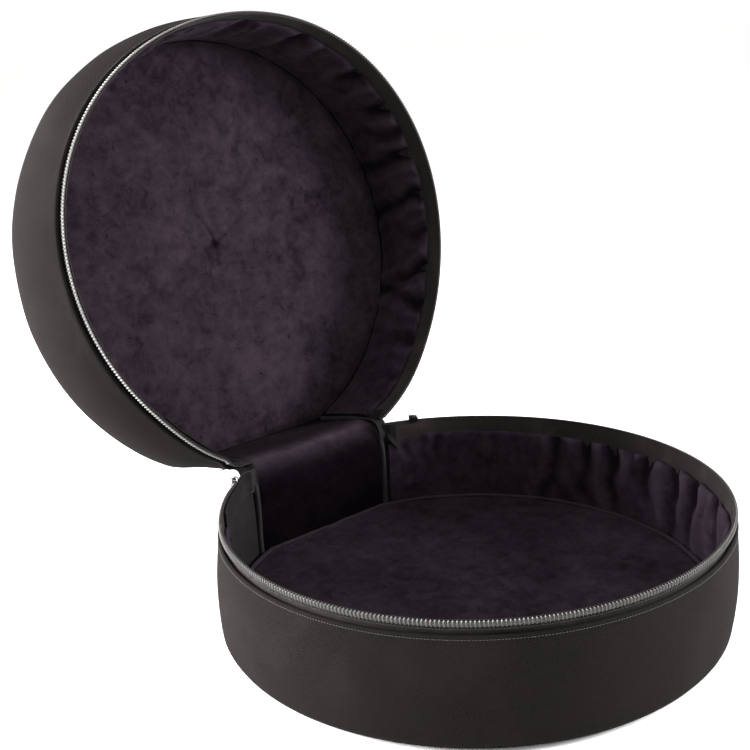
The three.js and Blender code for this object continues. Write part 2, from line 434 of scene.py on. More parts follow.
def makeTape(name="zipTape", dark=shade(15, 13, 13), light=shade(43, 38, 38), wearAndCrestHighlight=shade(55, 49, 49)):
    f = Finish(name)
    u, v = f.cloth()
    warp = (v * (2 * math.pi / (1.1 * mm))).wave() * 0.5 + 0.5
    weft = (u * (2 * math.pi / (0.8 * mm))).wave() * 0.5 + 0.5
    worn = f.grain(22, 4.0, warp=0.5)
    fuzz = f.grain(500, 2.0)
    hue = f.mix(warp * 0.6 + weft * 0.25 + (fuzz - 0.5) * 0.5, dark, light)
    hue = f.mix((worn - 0.5) * 1.4, hue, wearAndCrestHighlight)
    lift = f.bumps(warp * 0.7 + weft * 0.3 + fuzz * 0.4, 0.3 * mm, 0.6)
    return f.give(BaseColor=hue, Roughness=0.7 + (worn - 0.5) * 0.2, Normal=lift, SheenWeight=0.015,
                  SheenRoughness=0.4, SpecularIORLevel=0.04)


def makeEdging(name="boundEdge"):
    f = Finish(name)
    u, v = f.cloth()
    rib = (v * (2 * math.pi / (1.3 * mm))).wave() * 0.5 + 0.5
    cross = (u * (2 * math.pi / (0.9 * mm))).wave() * 0.5 + 0.5
    fuzz = f.grain(600, 2.0)
    worn = f.grain(30, 3.0)
    hue = f.mix(rib * 0.6 + cross * 0.2 + (fuzz - 0.5) * 0.5, shade(10, 8, 10), shade(32, 28, 31))
    hue = f.mix((worn - 0.5) * 1.2, hue, shade(44, 40, 43))
    lift = f.bumps(rib + cross * 0.4 + fuzz * 0.3, 0.35 * mm, 0.7)
    return f.give(BaseColor=hue, Roughness=0.55 + (worn - 0.5) * 0.25, Normal=lift, SheenWeight=0.02,
                  SheenRoughness=0.4, SpecularIORLevel=0.06)


def makeCoil(name="coilNylon"):
    f = Finish(name)
    scuff = f.grain(350, 4.0)
    wear = f.grain(60, 3.0)
    hue = f.mix(scuff * 0.6 + wear * 0.5 - 0.2, shade(26, 24, 24), shade(104, 98, 96))
    lift = f.bumps(scuff, 0.08 * mm, 0.5)
    return f.give(BaseColor=hue, Roughness=0.34 + scuff * 0.22, Normal=lift, SpecularIORLevel=0.45)


def makeStitch(name="sewingThread"):
    f = Finish(name)
    twist = f.node("TexWave", {"bands_direction": "DIAGONAL"}, 1, Vector=f.spots(), Scale=900.0,
                   Distortion=1.0)
    fuzz = f.grain(900, 2.0)
    hue = f.mix(twist * 0.7 + fuzz * 0.3, shade(8, 7, 8), shade(26, 23, 24))
    return f.give(BaseColor=hue, Roughness=0.5 + fuzz * 0.25, Normal=f.bumps(twist, 0.1 * mm, 0.6),
                  SheenWeight=0.2)


def makeMetal(name, dull, bright, rough, metallic=1.0):
    f = Finish(name)
    scuff = f.grain(700, 5.0)
    grime = f.grain(90, 4.0, warp=0.6)
    hue = f.mix(grime * 0.8 + scuff * 0.3 - 0.05, dull, bright)
    lift = f.bumps(scuff, 0.04 * mm, 0.4)
    return f.give(BaseColor=hue, Roughness=rough + (grime - 0.5) * 0.18, Metallic=metallic, Normal=lift)


def makeBoard(name="fibreBoard"):
    f = Finish(name)
    pulp = f.grain(120, 5.0, 0.7)
    fleck = f.grain(700, 3.0)
    hue = f.mix(pulp * 0.8 + fleck * 0.3, shade(92, 74, 54), shade(150, 126, 96))
    lift = f.bumps(pulp + fleck, 0.2 * mm, 0.5)
    return f.give(BaseColor=hue, Roughness=0.8 + (pulp - 0.5) * 0.2, Normal=lift)


def plushTones(deep, nap, brushed):
    return {"deep": shade(*deep), "nap": shade(*nap), "brushed": shade(*brushed)}


twill = makeTwill()
wallPlush = makePlush("wallPlush", plushTones((8, 5, 8), (30, 23, 30), (45, 38, 45)), 0.03, paintsFoldShadeAndHighlight=True)
discPlush = makePlush("discPlush", plushLook, 0.06, paintsFoldShadeAndHighlight=True)
floorPlush = makePlush("floorPlush", plushTones((6, 4, 6), (19, 15, 19), (37, 31, 37)), 0.04, paintsFoldShadeAndHighlight=True)
# a much darker copy of the plush that stands for the shade deep at the spine, with a painted highlight along
# the crest of the fold
spinePlushPaintedShade = makePlush("spinePlushPaintedShade", plushTones((2, 1, 2), (6, 4, 6), (12, 8, 12)), 0.02,
                       crest={"at": 0.128, "reach": 0.042, "hue": shade(50, 42, 49)})
tapeCloth = makeTape()
gussetCloth = makeTape("gussetCloth", shade(6, 5, 6), shade(23, 21, 22), shade(33, 30, 31))
boundEdge = makeEdging()
coilNylon = makeCoil()
thread = makeStitch()
chrome = makeMetal("chrome", shade(120, 118, 118), shade(214, 212, 210), 0.2)
blackMetal = makeMetal("blackMetal", shade(10, 10, 10), shade(34, 33, 34), 0.28, 0.6)
board = makeBoard()
print("finishes ready")


softness = {
    "base": {"twice": (0.8, -0.3), "thrice": (-0.8, -2.0), "once": (3.6, 0.2), "lift": (1.0, -0.1),
             "foot": 0.0, "side": 1},
    "lid": {"twice": (0.8, -1.3), "thrice": (-2.4, -4.6), "once": (1.4, -1.9), "lift": (-0.3, -1.4),
            "foot": 0.0, "side": -1},
}


def awayFromSpine(angle, near=24, far=54):
    return smooth((np.abs((angle + 180) % 360 - 180) - near) / (far - near))


def relax(piece, half):
    look = softness[half]
    spots = spotsOf(piece)
    x, y, z = spots.T
    turn = np.arctan2(y, x * look["side"])
    angle = np.degrees(np.arctan2(x, y))
    height = np.clip(z / rim, 0, 1.02)
    share = (look["foot"] + (1 - look["foot"]) * height) * awayFromSpine(angle) * mm
    grow = look["twice"][0] * np.cos(2 * turn) + look["twice"][1] * np.sin(2 * turn)
    grow = grow + look["thrice"][0] * np.cos(3 * turn) + look["thrice"][1] * np.sin(3 * turn)
    grow = grow + look["once"][0] * np.cos(turn) + look["once"][1] * np.sin(turn)
    lift = look["lift"][0] * (np.cos(2 * turn) - 1) + look["lift"][1] * np.sin(2 * turn)
    reach = np.hypot(x, y)
    corner = angle * wideSide[half]
    bent = np.cos(np.radians(np.clip(corner, caseShape["spineAngle"], 31)))
    pull = (hinge.y / mm - 1.3) / bent - 290 * 1.0005
    pull = pull * (1 - smooth((corner - 25) / 5)) * (corner > 22.4) * smooth((z / rim - 0.35) / 0.6)
    spots[:, :2] *= (1 + share * grow / caseShape["wallRadius"])[:, None]
    outward = np.clip(reach / 0.25 - 0.5, 0, 0.5) * 2
    spots[:, :2] *= (1 + pull * mm * outward / caseShape["wallRadius"])[:, None]
    spots[:, 2] += lift * mm * height ** 2 * awayFromSpine(angle) * np.clip(reach / 0.25, 0, 1) ** 2
    moveSpots(piece, spots)


def handOver(piece, half, finish, stands=(), bend=False):
    # gives a finished piece its cloth, puts it in its half and lets it ride there
    pickUp(piece)
    if not bend:
        piece.data.transform(toHalf[half])
    piece.data.materials.clear()
    piece.data.materials.append(finish)
    bpy.ops.object.shade_smooth_by_angle(angle=math.radians(60))
    if not bend:
        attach(piece, half)
    if stands:
        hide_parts(*stands)
    return piece


outerCloth = {
    "base": {"bulge": 4.6, "middle": 0.42, "corner": 13, "sag": 0.0},
    "lid": {"bulge": 7.5, "middle": 0.38, "corner": 15, "sag": 12.0},
    "thickness": 1.2, "hemTop": 124.5, "hemRoll": 1.7, "steps": 252, "seamRadius": 279,
}


def makeWallCloth(half):
    look = outerCloth[half]
    outer = caseShape["wallRadius"]
    corner = look["corner"] * mm
    seam = outerCloth["seamRadius"] * mm
    line = [((outerCloth["seamRadius"] - 5) * mm, 3.2 * mm), (seam - 2 * mm, 1.4 * mm)]
    middle = outer - corner
    for step in range(9):
        turn = math.radians(-72 + 9 * step)
        line.append((middle + corner * math.cos(turn), corner + corner * math.sin(turn)))
    line = [spot for spot in line[:2] if spot[0] < line[2][0] - 1 * mm] + line[2:]
    top = outerCloth["hemTop"] * mm
    for step in range(1, 13):
        line.append((outer, corner + (top - 7 * mm - corner) * step / 12))
    roll = outerCloth["hemRoll"] * mm
    for step in range(7):
        turn = math.radians(-10 + 200 * step / 6)
        line.append((outer - roll + roll * 1.25 * math.cos(turn) + 0.5 * mm,
                     top - roll + roll * math.sin(turn)))
    line.append((outer - 2 * roll - 0.2 * mm, top - 7 * mm))
    piece = spinCloth(half + "_wallCloth", line, caseShape["spineAngle"], 360 - caseShape["spineAngle"],
                      outerCloth["steps"])
    faceOut(piece)
    spots = spotsOf(piece)
    angle = np.degrees(np.arctan2(spots[:, 0], spots[:, 1])) % 360
    height = (spots[:, 2] - corner * 0.5) / (top - corner * 0.5)
    swell = np.clip(np.sin(np.pi * np.clip(height, 0, 1) ** (0.69 / -math.log(look["middle"]))), 0, 1) ** 0.8
    ripple = ripples(angle * 0.09, height * 2.2, 3.1 if half == "base" else 8.4)
    # the lid's cloth hangs heavier low on its wide side
    slack = look["sag"] * np.exp(-((angle - 70) / 60) ** 2)
    grow = (look["bulge"] + slack) * swell + 1.1 * ripple * np.clip(swell * 2, 0.15, 1)
    grow = grow * mm * awayFromSpine(angle, 22, 34)
    spots[:, :2] *= (1 + grow / np.hypot(spots[:, 0], spots[:, 1]))[:, None]
    moveSpots(piece, spots)
    thicken(piece, outerCloth["thickness"] * mm)
    relax(piece, half)
    return handOver(piece, half, twill, [half + "_wall_cover"])


def makeDiscCloth(half):
    piece = ringDisc(half + "_discCloth", outerCloth["seamRadius"] * mm + 1 * mm, 258.6 * mm,
                     1.4 * mm, 18, 144)
    spots = spotsOf(piece)
    reach = np.hypot(spots[:, 0], spots[:, 1]) / 0.28
    crown = 3.2 * mm if half == "lid" else 0.6 * mm
    dent = ripples(spots[:, 0] * 14, spots[:, 1] * 14, 1.7)
    uneven = dent * (0.8 * mm if half == "lid" else 0.15 * mm)
    spots[:, 2] = 1.0 * mm - (crown - uneven) * (1 - np.clip(reach, 0, 1) ** 4)
    if half == "base":
        spots[:, 2] = np.maximum(spots[:, 2], 0.25 * mm)
    moveSpots(piece, spots)
    pickUp(piece)
    bpy.ops.object.mode_set(mode="EDIT")
    bpy.ops.mesh.select_all(action="SELECT")
    bpy.ops.mesh.flip_normals()
    bpy.ops.object.mode_set(mode="OBJECT")
    thicken(piece, 1.0 * mm)
    relax(piece, half)
    return handOver(piece, half, twill, [half + "_disc_cover"])


zipLook = {
    "tapeRadius": 286.1, "tapeFoot": 110, "tapeTop": 138.9, "tapeThickness": 0.9,
    "coilRadius": 288.6, "coilMiddle": 135.9, "coilHigh": 3.9, "coilDeep": 1.8,
    "wire": 0.78, "coreDeep": 0.6, "coreHigh": 2.7, "pitch": 4.1, "wideEnd": 28.8, "narrowEnd": 22.9,
}


def zipEnds(half):
    ends = {-1: zipLook["narrowEnd"], 1: zipLook["narrowEnd"]}
    ends[wideSide[half]] = zipLook["wideEnd"]
    return ends[1], 360 - ends[-1]


def makeTapeBand(half):
    look = zipLook
    radius = look["tapeRadius"] * mm
    foot, top = look["tapeFoot"] * mm, look["tapeTop"] * mm
    line = [(radius, foot + (top - foot) * step / 8) for step in range(9)]
    piece = spinCloth(half + "_tapeBand", line, 22.5, 337.5, 252)
    faceOut(piece)
    spots = spotsOf(piece)
    angle = np.degrees(np.arctan2(spots[:, 0], spots[:, 1])) % 360
    lower = np.clip((top - spots[:, 2]) / (top - foot), 0, 1)
    wave = ripples(angle * 0.22, lower * 1.4, 5.5)
    grow = (-1.1 * smooth(lower * 2) - 0.7 * wave * lower) * mm
    spots[:, :2] *= (1 + grow / radius)[:, None]
    moveSpots(piece, spots)
    thicken(piece, look["tapeThickness"] * mm, 0)
    relax(piece, half)
    return handOver(piece, half, tapeCloth, [half + "_zip_tape"])


def makeCoilLoops(half):
    look = zipLook
    first, last = zipEnds(half)
    pitch = math.degrees(look["pitch"] * mm / (look["coilRadius"] * mm))
    count = int((last - first) / pitch)
    settle()
    bpy.ops.mesh.primitive_torus_add(major_segments=8, minor_segments=4, major_radius=2 * mm,
                                     minor_radius=look["wire"] * mm, location=(0, 0, 0))
    loop = bpy.context.object
    loop.name = loop.data.name = half + "_coil"
    spots = spotsOf(loop)
    wire = look["wire"] * mm
    spin = spots.copy()
    ring = np.hypot(spin[:, 0], spin[:, 1]) - 2 * mm
    turn = np.arctan2(spin[:, 1], spin[:, 0]) + math.radians(22.5)
    high, deep = look["coilHigh"] * mm - wire, look["coilDeep"] * mm - wire
    square = 1 / np.maximum(np.abs(np.cos(turn)), np.abs(np.sin(turn))) ** 0.55
    # stood up: the ring's plane holds the height and the depth, and the wire slants as it climbs
    loopDeep = (deep * square + ring) * np.cos(turn)
    loopHigh = (high * square + ring) * np.sin(turn)
    across = spin[:, 2] + 0.3 * mm * np.sin(turn + 0.6)
    spots[:, 0] = across
    spots[:, 1] = look["coilRadius"] * mm + loopDeep
    spots[:, 2] = look["coilMiddle"] * mm + loopHigh
    moveSpots(loop, spots)
    pickUp(loop)
    bpy.ops.object.mode_set(mode="EDIT")
    bpy.ops.mesh.select_all(action="SELECT")
    bpy.ops.mesh.normals_make_consistent(inside=False)
    bpy.ops.object.mode_set(mode="OBJECT")
    loop.data.transform(Matrix.Rotation(-math.radians(first), 4, "Z"))
    repeatRound(loop, count, pitch)
    relax(loop, half)
    return handOver(loop, half, coilNylon, [half + "_zip_coil"])


def makeCoilCore(half):
    # the filler cord that runs inside the coil
    look = zipLook
    first, last = zipEnds(half)
    line = []
    for step in range(8):
        turn = 2 * math.pi * step / 8
        line.append(((look["coilRadius"] + look["coreDeep"] * math.cos(turn)) * mm,
                     (look["coilMiddle"] + look["coreHigh"] * math.sin(turn)) * mm))
    piece = spinCloth(half + "_coilCore", line, first, last, 252, closed=True)
    relax(piece, half)
    return handOver(piece, half, thread)


stitchRows = {
    "hemStitches": {"radius": 291.9, "height": 121.0, "long": 2.6, "thick": 0.6, "spacing": 3.4},
    "tapeStitches": {"radius": 286.9, "height": 129.4, "long": 1.7, "thick": 0.8, "spacing": 2.4,
                     "slant": 0.5},
}


def makeStitches(half, label, radius, height, long, thick, spacing, first=23.2, last=336.8,
                 slant=0.0, under=0.0):
    settle()
    bpy.ops.mesh.primitive_uv_sphere_add(segments=6, ring_count=4, radius=1 * mm, location=(0, 0, 0))
    stitch = bpy.context.object
    stitch.name = stitch.data.name = half + "_" + label
    spots = spotsOf(stitch)
    spots = np.stack([spots[:, 2] * long / 2, spots[:, 1] * thick / 2, spots[:, 0] * thick / 2], 1)
    spots[:, 2] += spots[:, 0] * slant
    spots[:, 1] -= (np.abs(spots[:, 0]) / (long / 2 * mm)) ** 2 * thick * 0.45 * mm
    spots += np.array([0, radius * mm, height * mm])
    moveSpots(stitch, spots)
    pickUp(stitch)
    bpy.ops.object.mode_set(mode="EDIT")
    bpy.ops.mesh.select_all(action="SELECT")
    bpy.ops.mesh.normals_make_consistent(inside=False)
    bpy.ops.object.mode_set(mode="OBJECT")
    stitch.data.transform(Matrix.Rotation(-math.radians(first), 4, "Z"))
    pitch = math.degrees(spacing / radius)
    repeatRound(stitch, int((last - first) / pitch), pitch)
    relax(stitch, half)
    return handOver(stitch, half, thread)


wallPad = {
    "inner": 279.4, "outer": 285.2, "foot": {"base": 24.5, "lid": 16.5}, "top": 118.5, "steps": 440,
    "base": {"folds": [(70, 1.5, 3.6), (79, 1.7, 4.2), (86, 2.0, 4.6), (93, 1.4, 3.0),
                       (99, 2.0, 5.0), (108, 2.2, 4.4), (117, 1.8, 4.6), (129, 2.2, 3.4), (152, 2.0, 2.6),
                       (181, 1.8, 2.0), (214, 2.2, 2.4), (243, 1.7, 2.0), (271, 2.0, 2.6), (297, 1.8, 2.4)],
             "seed": 4},
    "lid": {"folds": [(226, 2.0, 3.0), (238, 1.8, 4.8), (246, 1.6, 2.8), (254, 1.9, 4.4), (265, 1.7, 4.2),
                      (276, 1.6, 2.6), (287, 1.8, 4.6), (297, 1.7, 3.6), (309, 1.8, 2.8), (207, 2.0, 2.6),
                      (187, 2.2, 2.2), (160, 2.0, 2.4), (132, 1.8, 2.2), (101, 2.0, 2.6), (66, 1.9, 2.4)],
            "seed": 9},
}


def wallEnds(half):
    # where the plush wall starts and stops: it leaves more bare cloth on the wide side
    ends = {-1: 23.2, 1: 23.2}
    ends[wideSide[half]] = 47.0
    return ends[1], 360 - ends[-1]


def paintFoldShadeAndHighlight(piece, lay):
    # painted shade and highlight for the plush: near 0 paints shade into a fold, near 1 paints a highlight
    # along a ridge
    layer = piece.data.attributes.new("lay", "FLOAT", "POINT")
    layer.data.foreach_set("value", np.clip(lay, 0, 1).astype(np.float32))


def makeWallPad(half):
    look = wallPad
    inner, outer, top = look["inner"] * mm, look["outer"] * mm, look["top"] * mm
    foot = look["foot"][half] * mm
    line = [(inner, foot + (top - 5 * mm - foot) * step / 16) for step in range(17)]
    for step in range(1, 6):
        turn = math.radians(180 - 36 * step)
        line.append(((inner + outer) / 2 + (outer - inner) / 2 * math.cos(turn),
                     top - 4 * mm + 4 * mm * math.sin(turn)))
    line += [(outer, top - 30 * mm), (outer, foot + 30 * mm), (outer, foot)]
    first, last = wallEnds(half)
    piece = spinCloth(half + "_wallPad", line, first, last, look["steps"], closed=True)
    spots = spotsOf(piece)
    angle = np.degrees(np.arctan2(spots[:, 0], spots[:, 1])) % 360
    radius = np.hypot(spots[:, 0], spots[:, 1])
    inside = np.clip((outer - radius) / (outer - inner), 0, 1)
    height = np.clip((spots[:, 2] - foot) / (top - foot), 0, 1)
    ends = smooth((angle - first) / 2.5) * smooth((last - angle) / 2.5)
    grow = np.zeros(len(spots))
    drop = np.zeros(len(spots))
    dice = random.Random(look[half]["seed"])
    folds = list(look[half]["folds"])
    spot = first + 6
    while spot < last - 5:
        folds.append((spot + dice.uniform(-1.5, 1.5), dice.uniform(0.8, 1.4), dice.uniform(0.4, 1.5)))
        spot += dice.uniform(8, 13)
    for middle, width, depth in folds:
        slope = dice.uniform(-4.0, 4.0)
        wander = dice.uniform(0, 40)
        reach = dice.uniform(-0.25, 0.45)
        fade = smooth((height - reach + 0.12) / 0.4) * (0.6 + 0.45 * smooth((height - 0.5) / 0.4))
        place = middle + slope * (1 - height)
        bow = ripples(height * 2.6, wander, 0.5) * 2.2
        gap = (angle - place - bow) / (width * 1.15)
        grow += 1.5 * depth * fade * (np.exp(-gap ** 2) - 0.55 * np.exp(-((np.abs(gap) - 1.9) / 0.8) ** 2))
        drop += depth * 0.62 * np.exp(-(gap / 1.4) ** 2)
    puff = ripples(angle * 0.055, height * 1.6, look[half]["seed"])
    fine = ripples(angle * 0.3, height * 5, 2 + look[half]["seed"])
    hollow = 1.8 * np.sin(np.pi * height)
    foldOnly = grow.copy()
    grow = (grow - 1.6 * puff - hollow * 0.9 + 0.45 * fine) * inside * ends * mm
    # painted shade in the fold hollows and painted highlight on the ridges between them
    paintFoldShadeAndHighlight(piece, 0.5 - foldOnly * inside * 0.1)
    spots[:, :2] *= (1 + grow / radius)[:, None]
    crest = smooth((height - 0.7) / 0.3) * mm
    edge = ripples(angle * 0.16, 0.3, look[half]["seed"])
    near = bump(angle, first if wideSide[half] < 0 else last, 6.0)
    spots[:, 2] -= (drop * 1.0 + 2.2 * edge + 9 * near) * crest
    moveSpots(piece, spots)
    relax(piece, half)
    handOver(piece, half, wallPlush, [half + "_wall_lining", half + "_wall_foam"])
    return piece


discPad = {
    "base": {"top": 26.6, "foot": 4.4, "crown": 2.4, "edge": 3.4, "seed": 12},
    "lid": {"top": 18.6, "foot": 4.4, "crown": 2.6, "edge": 3.6, "seed": 31},
    "radius": 278.4, "chord": 261.2, "rings": 84, "steps": 240,
}


def makeDiscPad(half):
    look = discPad[half]
    top, foot = look["top"] * mm, look["foot"] * mm
    piece = ringDisc(half + "_discPad", discPad["radius"] * mm, discPad["chord"] * mm, top, discPad["rings"],
                     discPad["steps"])
    spots = spotsOf(piece)
    angle = np.arctan2(spots[:, 0], spots[:, 1])
    flat = np.hypot(spots[:, 0], spots[:, 1])
    limit = np.where(np.cos(angle) * discPad["radius"] > discPad["chord"],
                     discPad["chord"] / np.maximum(np.cos(angle), 0.1), discPad["radius"]) * mm
    reach = flat / limit
    lumps = ripples(spots[:, 0] * 9, spots[:, 1] * 9, look["seed"])
    dents = ripples(spots[:, 0] * 32, spots[:, 1] * 32, look["seed"] + 3)
    rise = look["crown"] * (1 - reach ** 2) + 1.5 * lumps * (1 - reach ** 6) + 0.35 * dents
    tuck = look["edge"] * smooth((reach - 0.955) / 0.045) ** 1.4
    pucker = 0.5 * np.sin(np.degrees(angle) * 1.7) * np.exp(-((reach - 0.93) / 0.04) ** 2)
    spots[:, 2] = top + (rise - tuck + pucker - 0.6) * mm
    creased = np.zeros(len(spots))
    for x, y, turn, long, wide, deep in discFolds[half]:
        dx, dy = spots[:, 0] - x, spots[:, 1] - y
        run = dx * math.cos(turn) + dy * math.sin(turn)
        off = -dx * math.sin(turn) + dy * math.cos(turn) + 0.25 * run ** 2 / max(long, 0.02)
        dip = deep * np.exp(-(off / (1.2 * wide)) ** 2) * 1.5 * np.exp(-(run / long) ** 2)
        spots[:, 2] -= dip * mm
        creased += dip
    moveSpots(piece, spots)
    # painted shade in the pressed creases
    paintFoldShadeAndHighlight(piece, 0.5 - creased * (0.11 + 0.12 * dents))
    pickUp(piece)
    bpy.ops.object.mode_set(mode="EDIT")
    bpy.ops.mesh.select_mode(type="EDGE")
    bpy.ops.mesh.select_all(action="DESELECT")
    bpy.ops.mesh.select_non_manifold()
    bpy.ops.mesh.extrude_region_move(TRANSFORM_OT_translate={"value": (0, 0, -(top - foot) * 0.5)})
    bpy.ops.mesh.extrude_region_move(TRANSFORM_OT_translate={"value": (0, 0, -(top - foot) * 0.28)})
    bpy.ops.mesh.edge_face_add()
    bpy.ops.mesh.select_all(action="SELECT")
    bpy.ops.mesh.normals_make_consistent(inside=False)
    bpy.ops.mesh.select_mode(type="VERT")
    bpy.ops.object.mode_set(mode="OBJECT")
    relax(piece, half)
    handOver(piece, half, floorPlush if half == "base" else discPlush,
             [half + "_disc_lining", half + "_disc_foam"])
    return piece


# creases pressed into the discs: where, which way, how long and wide, how deep in mm
discFolds = {
    "base": [(0.05, -0.06, 0.3, 0.10, 0.006, 0.7), (-0.09, 0.02, 1.1, 0.08, 0.005, 0.6),
             (0.10, 0.09, -0.4, 0.07, 0.006, 0.6)],
    "lid": [(0.015, -0.01, 0.4, 0.026, 0.003, 1.7), (0.017, -0.012, 1.75, 0.034, 0.0026, 1.5),
            (0.013, -0.009, 2.6, 0.018, 0.003, 1.2), (-0.05, -0.14, 1.2, 0.07, 0.006, 1.0),
            (0.12, 0.05, 0.7, 0.05, 0.007, 0.8), (0.02, 0.12, -0.5, 0.05, 0.006, 0.9),
            (-0.2, -0.02, 1.5, 0.10, 0.008, 0.6)],
}


ridgeLook = {"radius": 275.8, "chord": 258.6, "height": 25.6, "thick": 6.0, "sides": 8, "steps": 300}


def makeRidge():
    # the welted seam that runs round the floor of the base
    look = ridgeLook
    line = []
    for step in range(look["sides"]):
        turn = 2 * math.pi * step / look["sides"]
        line.append(((look["radius"] + look["thick"] / 2 * math.cos(turn)) * mm,
                     (look["height"] + look["thick"] / 2 * math.sin(turn)) * mm))
    piece = spinCloth("base_floorRidge", line, 0.0, 360.0, look["steps"], closed=True)
    pickUp(piece)
    bpy.ops.object.mode_set(mode="EDIT")
    bpy.ops.mesh.select_all(action="SELECT")
    bpy.ops.mesh.remove_doubles(threshold=0.01 * mm)
    bpy.ops.mesh.normals_make_consistent(inside=False)
    bpy.ops.object.mode_set(mode="OBJECT")
    spots = spotsOf(piece)
    reach = np.hypot(spots[:, 0], spots[:, 1])
    limit = (look["chord"] * mm + reach - look["radius"] * mm) * reach / np.maximum(spots[:, 1], 0.1)
    share = np.where(spots[:, 1] > 0.1, np.minimum(limit / reach, 1), 1)
    spots[:, :2] *= share[:, None]
    angle = np.degrees(np.arctan2(spots[:, 0], spots[:, 1])) % 360
    wave = ripples(angle * 0.12, 4.4, 0.2)
    fine = ripples(angle * 0.5, spots[:, 2] * 400, 0.9)
    spots[:, 2] += (0.9 * wave + 0.35 * fine) * mm
    spots[:, :2] *= (1 + (0.7 * wave + 0.3 * fine) * mm / 0.276)[:, None]
    moveSpots(piece, spots)
    relax(piece, "base")
    # a painted highlight along the whole ridge
    paintFoldShadeAndHighlight(piece, np.full(len(piece.data.vertices), 0.8))
    return handOver(piece, "base", floorPlush, ["base_floor_piping"])


gussetLook = {"near": {"wide": 24.0, "narrow": 22.3}, "far": {"wide": 49.5, "narrow": 25.5},
              "radius": 281.5, "nearRadius": 284.0, "top": 137.5, "foot": {"base": 25.0, "lid": 17.0}}


def makeGusset(half, side):
    look = gussetLook
    wide = side == wideSide[half]
    far = look["far"]["wide" if wide else "narrow"]
    foot, top = look["foot"][half] * mm, look["top"] * mm
    line = [(look["radius"] * mm, foot + (top - foot) * step / 26) for step in range(27)]
    near = look["near"]["wide" if wide else "narrow"]
    first, last = (near, far) if side > 0 else (-far, -near)
    piece = spinCloth(half + ("_gussetWide" if wide else "_gussetNarrow"), line, first, last,
                      34 if wide else 10)
    faceOut(piece, outward=False)
    spots = spotsOf(piece)
    angle = np.abs(np.degrees(np.arctan2(spots[:, 0], spots[:, 1])))
    share = (angle - near) / (far - near)
    height = (spots[:, 2] - foot) / (top - foot)
    grow = (look["nearRadius"] - look["radius"]) * (1 - smooth(share * 1.6))
    crease = 0.86 - 0.16 * share
    grow = grow - 5.2 * np.exp(-((height - crease) / 0.035) ** 2) * smooth(share * 4)
    grow = grow + 3.2 * np.exp(-((height - crease + 0.09) / 0.06) ** 2) * smooth(share * 3)
    fold = np.exp(-((height - 0.45 - 0.3 * share) / 0.05) ** 2)
    grow = grow - 1.6 * fold * np.sin(np.pi * np.clip(share, 0, 1))
    wave = ripples(angle * 0.25, height * 4, 6.6)
    grow = grow + 1.0 * wave
    spots[:, :2] *= (1 + grow * mm / 0.2815)[:, None]
    moveSpots(piece, spots)
    thicken(piece, 1.2 * mm)
    relax(piece, half)
    name = "right" if (side > 0) == (half == "base") else "left"
    return handOver(piece, half, gussetCloth, [half + "_gusset_" + name])


def spinePath(gap, baseFoot, lidFoot, straight=16, bend=12, ease=0.0):
    # the line across the hinge, seen from the side: up the base, over the fold, along the lid
    path = []
    for step in range(straight):
        path.append((hinge.y - gap, baseFoot + (rim - ease - baseFoot) * step / straight, 0.0))
    outDirection = Vector((math.cos(lean), math.sin(lean)))
    along = Vector((math.sin(lean), -math.cos(lean)))
    start = Vector((hinge.y - gap, rim - ease))
    finish = Vector((hinge.y, rim)) + outDirection * gap + along * ease
    if ease > 0:
        lift = 1 + math.cos(math.pi - lean)
        corner = Vector((hinge.y, rim)) + (Vector((-1, 0)) + outDirection) * gap / lift
        for step in range(bend + 1):
            t = step / bend
            spot = start * (1 - t) ** 2 + corner * 2 * t * (1 - t) + finish * t ** 2
            path.append((spot.x, spot.y, t))
    else:
        for step in range(bend + 1):
            turn = math.pi + (lean - math.pi) * step / bend
            path.append((hinge.y + gap * math.cos(turn), rim + gap * math.sin(turn), step / bend))
    length = rim - lidFoot - ease
    for step in range(1, straight + 1):
        spot = finish + along * length * step / straight
        path.append((spot.x, spot.y, 1.0))
    return path


def normalsOf(path):
    # towards the inside of the open case
    found = []
    for place in range(len(path)):
        a, b = path[max(place - 1, 0)], path[min(place + 1, len(path) - 1)]
        run = Vector((b[0] - a[0], b[1] - a[1])).normalized()
        found.append((-run.y, run.x))
    return np.array(found)


def spineSheet(name, path, left, right, steps):
    start = [(left, y, z) for y, z, t in path]
    piece = drawLine(name, start)
    for step in range(steps):
        bpy.ops.mesh.extrude_region_move(TRANSFORM_OT_translate={"value": ((right - left) / steps, 0, 0)})
    bpy.ops.mesh.select_all(action="SELECT")
    bpy.ops.mesh.remove_doubles(threshold=0.01 * mm)
    bpy.ops.mesh.normals_make_consistent(inside=False)
    bpy.ops.object.mode_set(mode="OBJECT")
    spots = spotsOf(piece)
    line = np.array([(y, z) for y, z, t in path])
    gap = (spots[:, 1][:, None] - line[:, 0]) ** 2 + (spots[:, 2][:, None] - line[:, 1]) ** 2
    nearest = gap.argmin(1)
    lengths = alongOf([(0, y, z) for y, z, t in path])
    layCloth(piece, spots[:, 0], lengths[nearest])
    normal = normalsOf(path)[nearest]
    facing = sum(face.normal.y * normal[face.vertices[0]][0] + face.normal.z * normal[face.vertices[0]][1]
                 for face in piece.data.polygons)
    if facing < 0:
        pickUp(piece)
        bpy.ops.object.mode_set(mode="EDIT")
        bpy.ops.mesh.select_all(action="SELECT")
        bpy.ops.mesh.flip_normals()
        bpy.ops.object.mode_set(mode="OBJECT")
    return piece, nearest, normal, lengths


def bendOver(piece, finish, stands):
    handOver(piece, None, finish, stands, bend=True)
    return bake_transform(piece)


spineLook = {"gap": 6.0, "half": 106, "thickness": 4.0, "baseFoot": 24.0, "lidFoot": 16.5,
             "steps": 44, "ease": 40}
foldSag = {"deep": 5.5, "half": 112.0, "reach": 0.03}


